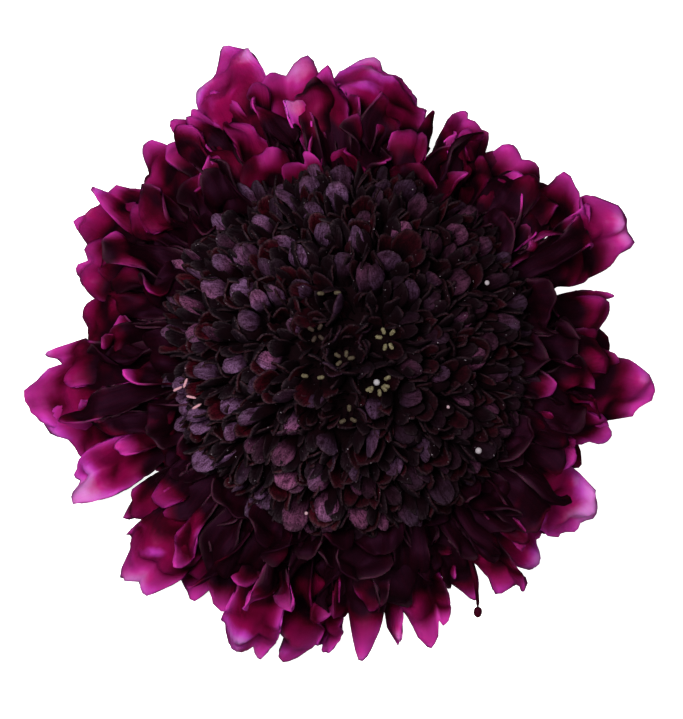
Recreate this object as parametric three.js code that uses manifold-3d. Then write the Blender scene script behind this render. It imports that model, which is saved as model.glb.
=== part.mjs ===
// Flower head of a dark scabiosa (pincushion flower), cut with a short stub of its stalk and lying face up.
// Millimetres, +Z up. The head rests at z = 0 on the tips of its drooping outer petals and on the stub.
// It has three bodies, one for each colour: the green stalk with its bracts, the magenta ray florets on
// their collar, and the near-black dome of small five-lobed florets.
import * as THREE from "three";
import { mergeVertices } from "three/addons/utils/BufferGeometryUtils.js";
import Module from "manifold-3d";

const wasm = await Module();
wasm.setup();

// ---- Driving dimensions ----------------------------------------------------------------------------
const GAP = 0.3; // clearance between two bodies
const SHEET = 0.65; // thickness of a petal or bract
const SLIVER = 0.05; // edges this short are merged away where pieces join
const AXIS = { x: 0.9, y: 0.2 }; // the stalk's axis; the petals' spread is centred on the origin

const STALK = { foot: 1.3, neck: 1.5, flare: 3.6, seat: 4.3, bend: 4.4, shoulder: 6.4, base: 7.4, top: 8.9 };
const BRACTS = { pairs: 9, long: 9.4, short: 6.6, width: 2.5, root: 3.1, height: 7.8 };

const COLLAR = { radius: 9.6, rim: 8.2, bottom: STALK.top + GAP, top: 13.2 };
const DOME = { radius: 17.3, rise: 13.8, middle: 14.2, depth: 4.3, florets: 112, lowest: 88 };
const CUP = { root: 0.8, throat: 1.25, shoulder: 1.65, tip: 1.9, sunk: 1.0, pit: 1.6, height: 4.15 };
const GOLDEN_ANGLE = 137.508;

// Outer ray florets: where each points (degrees from +X towards +Y), half the angle it spreads over, and
// how far from the stalk's axis its three long petals reach, clockwise side first.
const OUTER_RAYS = [
  { at: 349.5, spread: 13.4, reach: [23.6, 26.6, 27.3] },
  { at: 17.5, spread: 14.2, reach: [23.5, 25.0, 27.8] },
  { at: 40, spread: 11, reach: [25.2, 24.6, 23.6] },
  { at: 60.5, spread: 12, reach: [23.1, 23.6, 22.5] },
  { at: 84, spread: 12, reach: [24.0, 25.9, 25.1] },
  { at: 108, spread: 14.2, reach: [25.6, 28.8, 27.4] },
  { at: 131, spread: 12, reach: [25.8, 25.2, 26.2] },
  { at: 152, spread: 11, reach: [25.8, 27.2, 26.2] },
  { at: 170, spread: 9.8, reach: [25.2, 23.5, 24.1] },
  { at: 190, spread: 11.6, reach: [26.6, 29.3, 28.0] },
  { at: 203, spread: 7.6, reach: [26.8, 27.3, 27.3] },
  { at: 225.5, spread: 11.8, reach: [25.2, 28.5, 27.0] },
  { at: 250, spread: 14.2, reach: [26.0, 28.5, 28.3] },
  { at: 278, spread: 14.2, reach: [25.4, 25.9, 26.3] },
  { at: 304.5, spread: 11.4, reach: [24.2, 26.6, 25.1] },
  { at: 325, spread: 11.4, reach: [24.7, 26.6, 24.3] },
];
const RESTING = [1, 6, 9, 12, 14]; // outer florets whose middle petal lies on the surface
const OUTER = { start: 14.4, root: 11.0, rise: 9.6, tip: 1.7, tube: 1.4, stagger: 0.45 };
const INNER = { count: 14, start: 15.4, root: 12.0, rise: 11.1, tube: 1.2, spread: 13.6 };
// An inner lobe turned up is this much shorter and higher, and one turned down as much longer and lower.
const INNER_LOBE = { reach: 21.8, shorter: 1.9, tip: 12.2, higher: 2.2 };

// ---- Small helpers ---------------------------------------------------------------------------------
const rad = THREE.MathUtils.degToRad;

function polar(radius, degrees, z) {
  return new THREE.Vector3(radius * Math.cos(rad(degrees)), radius * Math.sin(rad(degrees)), z);
}

// A repeatable number from -1 to 1 for a piece and one of its features.
function vary(piece, feature) {
  const wave = Math.sin(piece * 12.9898 + feature * 78.233) * 43758.5453;
  return 2 * (wave - Math.floor(wave)) - 1;
}

// The solid inside a closed geometry.
function solidOf(geometry) {
  geometry.deleteAttribute("normal");
  geometry.deleteAttribute("uv");
  const closed = mergeVertices(geometry, 1e-4);
  const mesh = new wasm.Mesh({
    numProp: 3,
    vertProperties: closed.attributes.position.array,
    triVerts: Uint32Array.from(closed.index.array),
  });
  return new wasm.Manifold(mesh);
}

function solidFrom(points, triangles) {
  return solidOf(new THREE.BufferGeometry().setFromPoints(points).setIndex(triangles.flat()));
}

// A solid of revolution about Z from [radius, z] pairs that start and end on the axis.
function turned(profile, sides) {
  const outline = profile.map(([radius, z]) => new THREE.Vector2(radius, z));
  return solidOf(new THREE.LatheGeometry(outline, sides).rotateX(Math.PI / 2));
}

// All pieces joined into one closed body. A scrap that touches nothing is dropped, a sealed hollow filled.
function fuse(pieces) {
  const largest = (solid) =>
    solid.decompose().reduce((most, body) => (body.volume() > most.volume() ? body : most));
  return largest(largest(wasm.Manifold.union(pieces)).simplify(SLIVER));
}

function meshOf(name, solid, material) {
  const { numProp, numVert, vertProperties, triVerts } = solid.getMesh();
  const positions = new Float32Array(numVert * 3);
  for (let i = 0; i < numVert; i++)
    positions.set(vertProperties.subarray(i * numProp, i * numProp + 3), i * 3);
  const geometry = new THREE.BufferGeometry();
  geometry.setAttribute("position", new THREE.BufferAttribute(positions, 3));
  geometry.setIndex(new THREE.BufferAttribute(triVerts, 1));
  geometry.computeVertexNormals();
  const mesh = new THREE.Mesh(geometry, new THREE.MeshStandardMaterial(material));
  mesh.name = name;
  return mesh;
}

// ---- One petal or bract ----------------------------------------------------------------------------
// A closed, waved sheet. rows lists [along, places]: how far along the sheet a row lies, from 0 to 1, and
// where its points lie across it, from -1 to 1. surface(place, along) is a point midway through the sheet.
// Both faces are split into the same triangles, and nothing goes below z = 0.
function sheet(rows, surface) {
  const under = [];
  const over = [];
  const starts = [];
  for (const [along, places] of rows) {
    starts.push(under.length);
    for (const place of places) {
      const [low, high] = facesAt(surface, place, along);
      under.push(low);
      over.push(high);
    }
  }

  const shift = under.length;
  const triangles = [];
  const face = (a, b, c) => triangles.push([a + shift, b + shift, c + shift], [a, c, b]);
  const edge = (a, b) => triangles.push([a, b, b + shift], [a, b + shift, a + shift]);
  for (let row = 0; row + 1 < rows.length; row++) {
    const [near, far] = [rows[row][1], rows[row + 1][1]];
    let [j, k] = [starts[row], starts[row + 1]];
    edge(j, k);
    while (j - starts[row] + 1 < near.length || k - starts[row + 1] + 1 < far.length) {
      const nearNext = near[j - starts[row] + 1] ?? Infinity;
      const farNext = far[k - starts[row + 1] + 1] ?? Infinity;
      if (farNext <= nearNext) face(j, k, ++k);
      else face(j, k, ++j);
    }
    edge(k, j);
  }
  const [first, last] = [rows[0][1].length, starts.at(-1)];
  for (let j = 0; j + 1 < first; j++) edge(j + 1, j);
  for (let k = last; k + 1 < shift; k++) edge(k, k + 1);
  return solidFrom([...under, ...over], triangles);
}

// The points of a sheet's lower and upper face at one place, half its thickness to each side.
function facesAt(surface, place, along) {
  const step = 0.02;
  const inwards = surface(place, Math.max(along - step, 0));
  const outwards = surface(place, Math.min(along + step, 1));
  const sideways = surface(place + step, along).sub(surface(place - step, along));
  const normal = outwards.sub(inwards).cross(sideways).normalize();
  const low = surface(place, along).addScaledVector(normal, -SHEET / 2);
  const high = surface(place, along).addScaledVector(normal, SHEET / 2);
  low.z = Math.max(low.z, 0);
  high.z = Math.max(high.z, low.z + 0.95 * SHEET);
  return [low, high];
}

// ---- Stalk and involucre ---------------------------------------------------------------------------
function stalk() {
  const profile = [
    [0, 0],
    [STALK.foot, 0],
    [STALK.neck, STALK.bend],
    [STALK.flare, STALK.shoulder],
    [STALK.seat, STALK.base],
    [STALK.seat, STALK.top],
    [0, STALK.top],
  ];
  return turned(profile, 12);
}

// Two whorls of narrow green bracts, the long ones below and the short ones between them.
function bract(index) {
  const long = index % 2 === 0;
  const at = (180 * index) / BRACTS.pairs + 6 * vary(index, 1);
  const length = (long ? BRACTS.long : BRACTS.short) * (1 + 0.08 * vary(index, 2));
  const height = BRACTS.height - (long ? 0.9 : 0);
  const fall = (long ? 3.4 : 2.2) + 0.8 * vary(index, 3);
  const surface = (place, along) => {
    const half = 0.5 * BRACTS.width * (1 - 0.5 * along * along);
    const point = polar(BRACTS.root + length * along, at, height - fall * along ** 1.4 + 0.3 * place * place);
    return point.addScaledVector(polar(1, at + 90, 0), half * place);
  };
  const whole = [-1, 0, 1];
  return sheet([[0, whole], [0.4, whole], [0.75, whole], [1, [0]]], surface);
}

function stalkAndBracts() {
  const bracts = Array.from({ length: 2 * BRACTS.pairs }, (_, index) => bract(index));
  return fuse([stalk(), ...bracts]);
}

// ---- Ray florets -----------------------------------------------------------------------------------
// A floret's tube, as a tapered prism from its root in the collar to its throat.
function tube(root, throat, radius) {
  const way = throat.clone().sub(root);
  const prism = new THREE.CylinderGeometry(radius, 0.8 * radius, way.length(), 6);
  const turn = new THREE.Quaternion().setFromUnitVectors(new THREE.Vector3(0, 1, 0), way.clone().normalize());
  prism.translate(0, way.length() / 2, 0);
  prism.applyQuaternion(turn);
  return solidOf(prism.translate(root.x, root.y, root.z));
}

// Rows of points for a floret's three lobes: two points inside the tube, one at each edge of a lobe, and
// then spots across each lobe, given from -1 to 1 without the edge it shares with the lobe before.
function lobedRows(spots, alongs) {
  const across = [-1];
  for (const middle of [-2 / 3, 0, 2 / 3]) for (const spot of spots) across.push(middle + spot / 3);
  return [[0, [-1, 1]], [0.16, [-1, -1 / 3, 1 / 3, 1]], ...alongs.map((along) => [along, across])];
}

// The value at a place across a floret, from the values at the middles of its three lobes.
function blend(values, place) {
  const spot = THREE.MathUtils.clamp(1.5 * place + 1, 0, 2);
  const lobe = Math.min(1, Math.floor(spot));
  return THREE.MathUtils.lerp(values[lobe], values[lobe + 1], spot - lobe);
}

// One ray floret: a tube, and a sheet that fans out from it into three rounded lobes. Each lobe has its
// own reach, height at the tip, and cup, which lifts its edges.
function rayFloret(size, { at, spread }, rise, lobes, rows) {
  const surface = (place, along) => {
    const across = 2 * ((1.5 * place + 1.5) % 1) - 1;
    const notch = Math.abs(place) > 2 / 3 ? 0.68 : 0.8;
    const rim = notch + (1 - notch) * Math.max(0, 1 - Math.abs(across) ** 2.6) ** (1 / 2.6);
    const length = (blend(lobes.reach, place) - size.start) * rim;
    const turn = place * spread * (0.3 + 0.7 * Math.sin((Math.PI / 2) * along));
    const fall = (blend(lobes.tip, place) - rise) * along ** lobes.droop;
    const bow = lobes.bow * Math.sin(Math.PI * along) + blend(lobes.cup, place) * across * across * along;
    return polar(size.start + length * along, at + turn, rise + fall + bow);
  };
  const throat = polar(size.start + 0.6, at, rise);
  return [tube(polar(COLLAR.rim, at, size.root), throat, size.tube), sheet(rows, surface)];
}

// A large floret of the rim, whose three long petals droop outwards. Neighbours lie a little higher or lower.
function outerRay(ray, index) {
  const tip = [0, 1, 2].map((lobe) => OUTER.tip + 0.8 * vary(index, 3 + lobe) + 0.5 * Math.abs(lobe - 1));
  const cup = [0, 1, 2].map((lobe) => 1.1 + 0.4 * vary(index, 6 + lobe));
  const alongs = [0.42, 0.72, 1];
  if (RESTING.includes(index)) {
    tip[1] = -3.2; // its end meets the surface and lies flat on it
    cup[1] = 0.3;
    alongs.splice(2, 0, 0.88);
  }
  const rise = OUTER.rise + (index % 2 ? OUTER.stagger : -OUTER.stagger);
  const lobes = { reach: ray.reach, tip, cup, droop: 1.7, bow: 0.9 };
  return rayFloret(OUTER, ray, rise, lobes, lobedRows([-0.6, 0, 0.6, 1], alongs));
}

// A smaller floret of the second tier, between the dome and the outer petals, that turns up at the end.
function innerRay(index) {
  const at = 4 + (360 * index) / INNER.count + 2.5 * vary(index, 21);
  const turnedUp = [0, 1, 2].map((lobe) => vary(index, 23 + lobe));
  const reach = turnedUp.map((up) => INNER_LOBE.reach - INNER_LOBE.shorter * up);
  const tip = turnedUp.map((up) => INNER_LOBE.tip + INNER_LOBE.higher * up);
  const lobes = { reach, tip, cup: [0.9, 0.9, 0.9], droop: 2, bow: -0.7 };
  const place = { at, spread: INNER.spread };
  return rayFloret(INNER, place, INNER.rise, lobes, lobedRows([-0.5, 0.5, 1], [0.6, 1]));
}

function rayFlorets() {
  const collar = turned(
    [
      [0, COLLAR.bottom],
      [COLLAR.rim, COLLAR.bottom + 0.4],
      [COLLAR.radius, (COLLAR.bottom + COLLAR.top) / 2],
      [COLLAR.rim, COLLAR.top],
      [0, COLLAR.top],
    ],
    20,
  );
  const outer = OUTER_RAYS.flatMap(outerRay);
  const inner = Array.from({ length: INNER.count }, (_, index) => innerRay(index)).flat();
  return fuse([collar, ...outer, ...inner]);
}

// ---- Dome of small florets -------------------------------------------------------------------------
// One small floret: a stem sunk in the core that opens into a cup with five rounded lobes. Florets follow
// a spiral from the top of the dome, and the lobes on a floret's downhill side grow towards the dome's edge.
function discFloret(index) {
  const share = (index + 0.5) / DOME.florets;
  const cosine = 1 - share * (1 - Math.cos(rad(DOME.lowest)));
  const sine = Math.sqrt(1 - cosine * cosine);
  const [across, upward] = [DOME.radius - DOME.depth, DOME.rise - DOME.depth];
  const root = polar(across * sine, index * GOLDEN_ANGLE, upward * cosine);
  const out = new THREE.Vector3(root.x / across ** 2, root.y / across ** 2, root.z / upward ** 2).normalize();
  const sideways = new THREE.Vector3(-out.y, out.x, 0).normalize();
  const downhill = new THREE.Vector3().crossVectors(sideways, out);
  root.z += DOME.middle;

  const at = (radius, degrees, height) =>
    root
      .clone()
      .addScaledVector(out, height)
      .addScaledVector(downhill, radius * Math.cos(rad(degrees)))
      .addScaledVector(sideways, radius * Math.sin(rad(degrees)));

  const lobes = 5;
  const spin = 10 * vary(index, 41);
  const open = 0.82 + 0.24 * share;
  const points = [];
  for (let k = 0; k < lobes; k++) points.push(at(CUP.root, spin + 72 * k - 36, -CUP.sunk));
  for (let k = 0; k < lobes; k++) points.push(at(CUP.root, spin + 72 * k - 36, 0.5));
  for (let k = 0; k < lobes; k++) {
    const bearing = spin + 72 * k;
    const grown = open * (1 + 0.2 * share * Math.cos(rad(bearing)) + 0.05 * vary(index, 42 + k));
    points.push(at(CUP.throat * open, bearing - 36, 0.6 * CUP.height));
    points.push(at(CUP.shoulder * grown, bearing - 20, 0.9 * CUP.height));
    points.push(at(CUP.tip * grown, bearing, CUP.height));
    points.push(at(CUP.shoulder * grown, bearing + 20, 0.9 * CUP.height));
  }
  points.push(at(0, 0, CUP.pit));

  const pit = points.length - 1;
  const rim = (k, step) => 2 * lobes + ((4 * k + step) % (4 * lobes));
  const triangles = [
    [0, 2, 1],
    [0, 3, 2],
    [0, 4, 3],
  ];
  for (let k = 0; k < lobes; k++) {
    const next = (k + 1) % lobes;
    const [low, high] = [k + lobes, next + lobes];
    triangles.push([k, next, high], [k, high, low], [low, rim(k, 1), rim(k, 0)], [low, rim(k, 2), rim(k, 1)]);
    triangles.push([low, high, rim(k, 2)], [high, rim(k, 3), rim(k, 2)], [high, rim(k, 4), rim(k, 3)]);
    for (let step = 0; step < 4; step++) triangles.push([pit, rim(k, step), rim(k, step + 1)]);
  }
  return solidFrom(points, triangles);
}

// The receptacle under the florets: a smaller dome with a flat floor just above the collar.
function core() {
  const [across, upward] = [DOME.radius - DOME.depth, DOME.rise - DOME.depth];
  const floor = COLLAR.top + GAP;
  const profile = [
    [0, floor],
    [across - 0.4, floor],
    [across, DOME.middle],
  ];
  for (const degrees of [30, 60])
    profile.push([across * Math.cos(rad(degrees)), DOME.middle + upward * Math.sin(rad(degrees))]);
  profile.push([0, DOME.middle + upward]);
  return turned(profile, 14);
}

function discFlorets() {
  const florets = Array.from({ length: DOME.florets }, (_, index) => discFloret(index));
  return fuse([core(), ...florets]);
}

// ---- The whole head --------------------------------------------------------------------------------
const head = new THREE.Group();
head.position.set(AXIS.x, AXIS.y, 0);
head.add(
  meshOf("stalk_and_bracts", stalkAndBracts(), { color: 0x5f7440, roughness: 0.65, metalness: 0 }),
  meshOf("ray_florets", rayFlorets(), { color: 0x8f1466, roughness: 0.5, metalness: 0 }),
  meshOf("disc_florets", discFlorets(), { color: 0x2e1428, roughness: 0.7, metalness: 0 }),
);

export default head;
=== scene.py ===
"""A dark scabiosa flower head: a dome of small velvety florets in a ring of ruffled magenta petals."""

import math

import bpy
import numpy as np
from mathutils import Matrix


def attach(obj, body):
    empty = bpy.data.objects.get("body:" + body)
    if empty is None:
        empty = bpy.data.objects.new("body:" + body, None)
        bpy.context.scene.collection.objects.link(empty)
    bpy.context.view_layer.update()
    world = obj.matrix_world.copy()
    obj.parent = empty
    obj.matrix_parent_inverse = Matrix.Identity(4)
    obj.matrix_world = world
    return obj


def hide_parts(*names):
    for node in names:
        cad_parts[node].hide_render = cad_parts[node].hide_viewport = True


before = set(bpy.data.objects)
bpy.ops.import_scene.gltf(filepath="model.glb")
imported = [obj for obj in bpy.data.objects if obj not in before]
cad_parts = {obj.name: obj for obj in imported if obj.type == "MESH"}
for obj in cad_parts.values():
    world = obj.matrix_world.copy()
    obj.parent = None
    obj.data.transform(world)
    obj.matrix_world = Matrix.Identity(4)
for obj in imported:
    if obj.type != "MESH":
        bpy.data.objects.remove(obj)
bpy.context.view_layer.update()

# Everything but the lamps and the materials is in millimetres and degrees until a mesh is made.
MM = 0.001
SEED = 7
AXIS = np.array([0.9, 0.2, 0.0])  # the stalk's axis: the ring of petals isn't quite centred on it
GOLDEN_ANGLE = 137.508
PHASES = 6.28  # a petal's waves start anywhere in one turn, in radians

UP = np.array([[0.0, 0.0, 1.0]])

# Profiles as (radius, height): the stalk from its cut foot to the seat of the head, and the petals' collar.
STALK = [(0, 0), (1.222, 0), (1.3, 0.12), (1.36, 1.5), (1.42, 3.0), (1.5, 4.4), (2.3, 5.2), (3.6, 6.4)]
STALK += [(4.3, 7.4), (4.3, 8.9), (0, 8.9)]
COLLAR = [(0, 8.7), (4.6, 8.7), (8.2, 9.2), (9.2, 10.0), (9.6, 11.0), (9.6, 12.6), (9.2, 13.2), (0, 13.6)]
# Heights on the stalk, and how far from its axis the hairs leave it there.
HAIR_FEET = ([0, 4.4, 5.2, 6.4, 7.4], [1.3, 1.48, 2.2, 3.5, 4.2])
HAIRS = 700
BRACTS = {"pairs": 9, "long": 9.4, "short": 6.6, "width": 2.5, "root": 3.1, "height": 7.8, "drop": 0.9}
# The two tiers of ray tubes, from where they leave the collar to their mouths.
TUBE_ROOT = 8.4
TUBES = [
    {"count": 16, "first": 0, "reach": 13.0, "foot": 11.0, "mouth": 10.2, "radius": 1.2},
    {"count": 14, "first": 4, "reach": 13.4, "foot": 12.0, "mouth": 11.2, "radius": 1.1},
]
# The one long style that ends in a knob among the outer petals.
STYLE = {"foot": (11.0, -16.5, 9.5), "knob": (12.5, -23.0, 7.0), "bow": (0.35, -0.2, 0.5)}

# The dome is half an ellipsoid over its middle, with the florets' roots at a depth under their mouths.
DOME = {"radius": 17.3, "rise": 13.8, "middle": 14.2, "depth": 4.3}
CORE_FOOT = [(0.0, 13.5), (12.2, 13.5), (12.8, 13.7)]  # the lower end of the core's profile
# The disc florets: how many there are, how many go into the upper piece, how far apart they are, the share
# of the dome's height that they cover, and the share of them, near its top, that is young.
FLORETS = {"count": 142, "top": 66, "spacing": 3.65, "covered": 0.965, "young": 0.05}
# How they make room: rounds, the share of the push taken in each, the greatest push, and the lowest mouth.
ROOM = {"rounds": 60, "step": 0.25, "most": 0.5, "lowest": 0.5}
FAR = 99  # further apart than any two florets
PAINTED_SHADE_SIDE = np.array([0.98, 0.17, 0.0])  # the side of the dome towards which the florets get painted shade
# Painted shade on a side of the ring's petals: bearing, how narrow it is, and how dark (below 0 is painted
# light instead).
PAINTED_RING_SHADE = [(280, 3, 1.1), (72, 3, -0.75), (140, 6, 0.65), (0, 6, 0.55)]
# How thick each kind of blade is in its middle, how much thinner at its margin, and the powers by which it
# thins towards its sides and its tip (0 is not at all).
THICK = {
    "lobe": (0.23, 0.08, 6, 10),
    "scale": (0.20, 0.08, 4, 0),
    "ray": (0.26, 0.10, 6, 10),
    "bract": (0.42, 0.20, 4, 8),
}
FOLD_LENGTH = 6.5  # the length of a fold 1 high
# The folds that crumple a petal: the way each runs, in radians, and its length.
FOLDS = [(0.3, 6.2), (1.5, 4.4), (2.4, 3.2), (0.9, 2.4), (2.0, 1.7)]

# Open florets near the middle of the dome: x, y, how far their anthers reach, how deep they sit, how dull
# they are (0 to 1), and their bearings.
OPEN = [
    (4.1, 1.2, 0.75, 0.0, 0.15, (48, 110, 172, 255, 300)),
    (3.2, -2.5, 0.95, 0.0, 0.3, (25, -15, -50, -85, -120, -150)),
    (0.5, -0.6, 0.45, 0.6, 0.8, (10, 85, 150, 220)),
    (-2.2, -2.1, 0.70, 0.4, 0.45, (10, 170)),
    (0.8, -5.4, 0.50, 0.7, 0.8, (90, 210, 330)),
    (-0.8, 5.0, 0.70, 0.6, 0.7, (0, 180)),
    (-1.9, 1.7, 0.50, 0.9, 1.0, (60, 150, 240, 320)),
]
# Stigmas that stand out of the dome: x, y, width and how pink they are.
STIGMAS = [
    (3.2, -2.5, 0.56, 0.0),
    (12.0, -8.4, 0.58, 0.1),
    (12.7, 6.0, 0.44, 0.1),
    (9.3, -4.6, 0.30, 0.5),
    (-2.8, -13.8, 0.32, 0.6),
]

# Pink anthers at the left of the dome: x, y, and the bearing that they point to.
PINK_ANTHERS = [(-13.9, -3.1, 25), (-12.7, -3.8, -12), (-13.2, -2.6, 70), (-12.2, -4.6, 30)]

RING = np.array([0.36, -0.07, 0.0])  # the middle of the ring, where the petals' reach is measured from
# The outermost petals: bearing, reach, width, bluntness of the tip (under 1.5 is pointed), how dark (below
# 0 is
# brighter: each petal's own tone, with painted shade and painted light for its side), and how far the tip
# bends counter-clockwise.
OUTER = [
    (1, 24.2, 4.6, 2.2, 0.4, 0.0),
    (9, 23.8, 4.0, 2.0, 0.4, 0.0),
    (12.8, 24.0, 2.0, 1.8, 0.3, 0.0),
    (24.4, 28.4, 6.8, 2.5, 0.3, 0.0),
    (37.8, 25.2, 8.2, 2.4, 0.3, 0.0),
    (46, 24.6, 6.2, 2.4, 0.2, 0.0),
    (56, 23.9, 5.2, 2.2, 0.2, 0.0),
    (61, 23.6, 4.2, 2.2, 0.0, 0.0),
    (69.8, 22.6, 1.6, 1.2, 0.3, 0.0),
    (80.4, 26.3, 8.0, 2.6, -0.3, 0.0),
    (89.5, 24.2, 5.0, 2.3, -0.3, 0.0),
    (98.6, 26.4, 7.2, 2.5, -0.2, 0.0),
    (113.4, 28.8, 6.8, 2.5, 0.1, 0.0),
    (117.5, 25.6, 4.6, 1.5, 0.3, -0.4),
    (121.6, 24.8, 3.0, 2.2, 0.2, 0.0),
    (126.5, 25.0, 4.2, 2.2, 0.6, 0.0),
    (135, 26.0, 4.2, 2.3, 0.3, 0.0),
    (144.5, 26.8, 4.6, 1.15, 0.4, 0.9),
    (152.6, 27.3, 7.0, 2.2, 0.6, 0.0),
    (160.2, 25.6, 5.8, 2.2, 0.5, 0.0),
    (173, 23.1, 5.2, 2.0, 0.7, 0.0),
    (182, 25.4, 3.8, 2.2, 0.7, 0.0),
    (188.2, 29.3, 6.2, 2.0, 0.7, 0.0),
    (195, 27.0, 6.0, 2.2, 0.5, 0.0),
    (205.8, 27.3, 4.6, 1.8, -0.6, 0.3),
    (216.6, 23.7, 2.8, 2.2, 0.3, 0.0),
    (220.4, 23.8, 4.0, 2.2, 0.1, 0.0),
    (227, 27.4, 6.2, 2.2, 0.3, 0.0),
    (236, 26.2, 5.6, 2.2, 0.2, 0.0),
    (244, 25.3, 4.8, 2.0, 0.6, 0.0),
    (251.2, 27.8, 5.2, 1.9, 0.2, 0.0),
    (259.5, 27.7, 5.0, 1.7, 0.3, 0.4),
    (265.6, 27.1, 3.4, 2.0, 0.2, 0.0),
    (273.2, 24.8, 4.4, 2.1, 0.7, 0.0),
    (280.8, 26.8, 2.2, 1.6, 0.4, 0.0),
    (286.8, 26.9, 4.4, 2.0, 0.3, 0.6),
    (298, 23.8, 3.4, 2.0, 0.7, 0.0),
    (306, 26.9, 4.8, 1.35, 0.3, 0.2),
    (313, 25.0, 4.6, 2.0, -0.3, 0.0),
    (325.6, 27.3, 6.2, 2.0, -0.9, 0.0),
    (335, 23.4, 4.4, 2.0, 0.0, 0.0),
    (342, 24.1, 4.2, 2.2, 0.1, 0.0),
    (351.8, 28.0, 6.4, 2.1, 0.5, 0.0),
]
# Where less of the ring shows under the outermost petals: bearing, half the width in degrees, and reach.
GAPS = [
    (17.2, 3.5, 19.8),
    (52, 9, 23),
    (55, 4, 21.4),
    (67.5, 3, 22.2),
    (72.5, 2, 20.2),
    (140.5, 3, 22.6),
    (171, 5, 21.8),
    (211.2, 4.5, 18.8),
    (216, 4, 22.6),
    (279, 2.5, 23.6),
    (293, 2.6, 22.4),
    (301, 2.5, 22.8),
    (337, 5, 23.2),
]
UNDER_PETALS = 26  # a lower row seen between the outermost petals
INNER_PETALS = 84  # shorter petals over them
RIBBONS = 36  # petals that stand up round the dome and are seen edge on
FRILLS = 64  # narrow curled lobes between the others
CROWN = 5.8  # how far a petal's spine may stand up over its root
PETAL_FLOOR = 0.16  # the middle of a petal comes no lower
FADE = {"from": 16, "over": 12}  # the petals turn from maroon to magenta this far out: partly their own colour, partly painted shade near the dome

# The camera looks straight down. It sees this far across at the height of the plane.
CAMERA = {"x": 0.23, "y": -0.57, "lens": 200.0, "sensor": 36.0, "across": 61.26, "plane": 8.0}
# The lamps, in metres and watts: name, place, size, power. They point at LAMP_AIM.
LAMPS = [("key", (-0.085, 0.055, 0.39), 0.16, 3.3), ("fill", (0.28, -0.22, 0.30), 0.30, 0.9)]
LAMP_AIM = np.array([0.0, 0.0, 0.012])

SAMPLES = 65  # steps in each table of a petal's profile
STATIONS = [0, 0.3, 0.65, 1]  # the shares of a ray petal's length where its angles are given
rng = np.random.default_rng(SEED)
ring_rng = np.random.default_rng(SEED + 1)


# ---- shapes ----------------------------------


def unit(v):
    return v / np.maximum(np.linalg.norm(v, axis=-1, keepdims=True), 1e-9)


def polar(radius, bearing, height):
    """Points about the stalk's axis. The bearing is in degrees, counter-clockwise from +X."""
    radius, bearing, height = np.broadcast_arrays(radius, np.radians(bearing), height)
    return np.stack([radius * np.cos(bearing), radius * np.sin(bearing), height], -1) + AXIS


def table(stations, values, soft=5):
    """Rows of values (N, K), given at shares of a petal's length, as smooth rows of SAMPLES steps."""
    steps = np.linspace(0, 1, SAMPLES)
    rows = np.array([np.interp(steps, stations, row) for row in np.atleast_2d(values)])
    weights = np.hanning(2 * soft + 3)[1:-1]
    weights /= weights.sum()
    rows = np.pad(rows, ((0, 0), (soft, soft)), mode="edge")
    return np.array([np.convolve(row, weights, "valid") for row in rows])


def read(rows, at):
    """A table of N rows read at the shares at (N, R, C)."""
    x = np.clip(at, 0, 1) * (SAMPLES - 1)
    low = np.minimum(x.astype(int), SAMPLES - 2)
    part = x - low
    flat = low.reshape(len(at), -1)
    a = np.take_along_axis(rows, flat, 1).reshape(at.shape)
    b = np.take_along_axis(rows, flat + 1, 1).reshape(at.shape)
    return a + (b - a) * part


def column(values, count):
    """One value a petal, shaped to work with its grid."""
    return np.broadcast_to(np.asarray(values, float), (count,)).reshape(-1, 1, 1)


def grids(rows, columns):
    """The share along (R, 1) and the place across from -1 to 1 (1, C) of a petal's grid."""
    along = np.linspace(0, 1, rows)
    along = 0.55 * along + 0.45 * np.sin(along * np.pi / 2)
    across = np.sin(np.linspace(-np.pi / 2, np.pi / 2, columns))
    return along.reshape(1, -1, 1), across.reshape(1, 1, -1)


def crumple(x, y, phase):
    """Soft uneven folds over a petal, x across and y along it, different for each phase."""
    total = 0
    for turn, length in FOLDS:
        turn = turn + phase
        wave = 2 * np.pi / length
        way = x * np.cos(turn) + y * np.sin(turn)
        total = total + length / FOLD_LENGTH * np.sin(wave * way + 7 * phase)
    return total


def spine(angle):
    """How far out and up a spine 1 long has come at each of its steps, from its angles (N, SAMPLES)."""
    mean = 0.5 * (angle[:, 1:] + angle[:, :-1])
    zero = np.zeros((len(angle), 1))
    out = np.hstack([zero, np.cumsum(np.sin(mean), 1)]) / (SAMPLES - 1)
    up = np.hstack([zero, np.cumsum(np.cos(mean), 1)]) / (SAMPLES - 1)
    return out, up


def margin(shape, t, across, ridges, phase):
    """How far along its petal each point is, with the tip blunt or pointed, notched and ragged."""
    count = len(phase)
    ragged = column(shape["ragged"], count)
    notch = column(shape["notch"], count)
    lobed = column(shape.get("lobed", 0.0), count)
    rim = np.clip(1 - np.abs(across) ** shape["blunt"], 0, 1) ** (1 / shape["blunt"])
    teeth = ragged * (np.sin(11 * across + 2 * phase) + np.sin(19 * across + phase))
    teeth = teeth - lobed * (0.5 - 0.5 * ridges)
    return t * (notch + (1 - notch) * rim + teeth * (1 - np.abs(across) ** 4))


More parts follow.
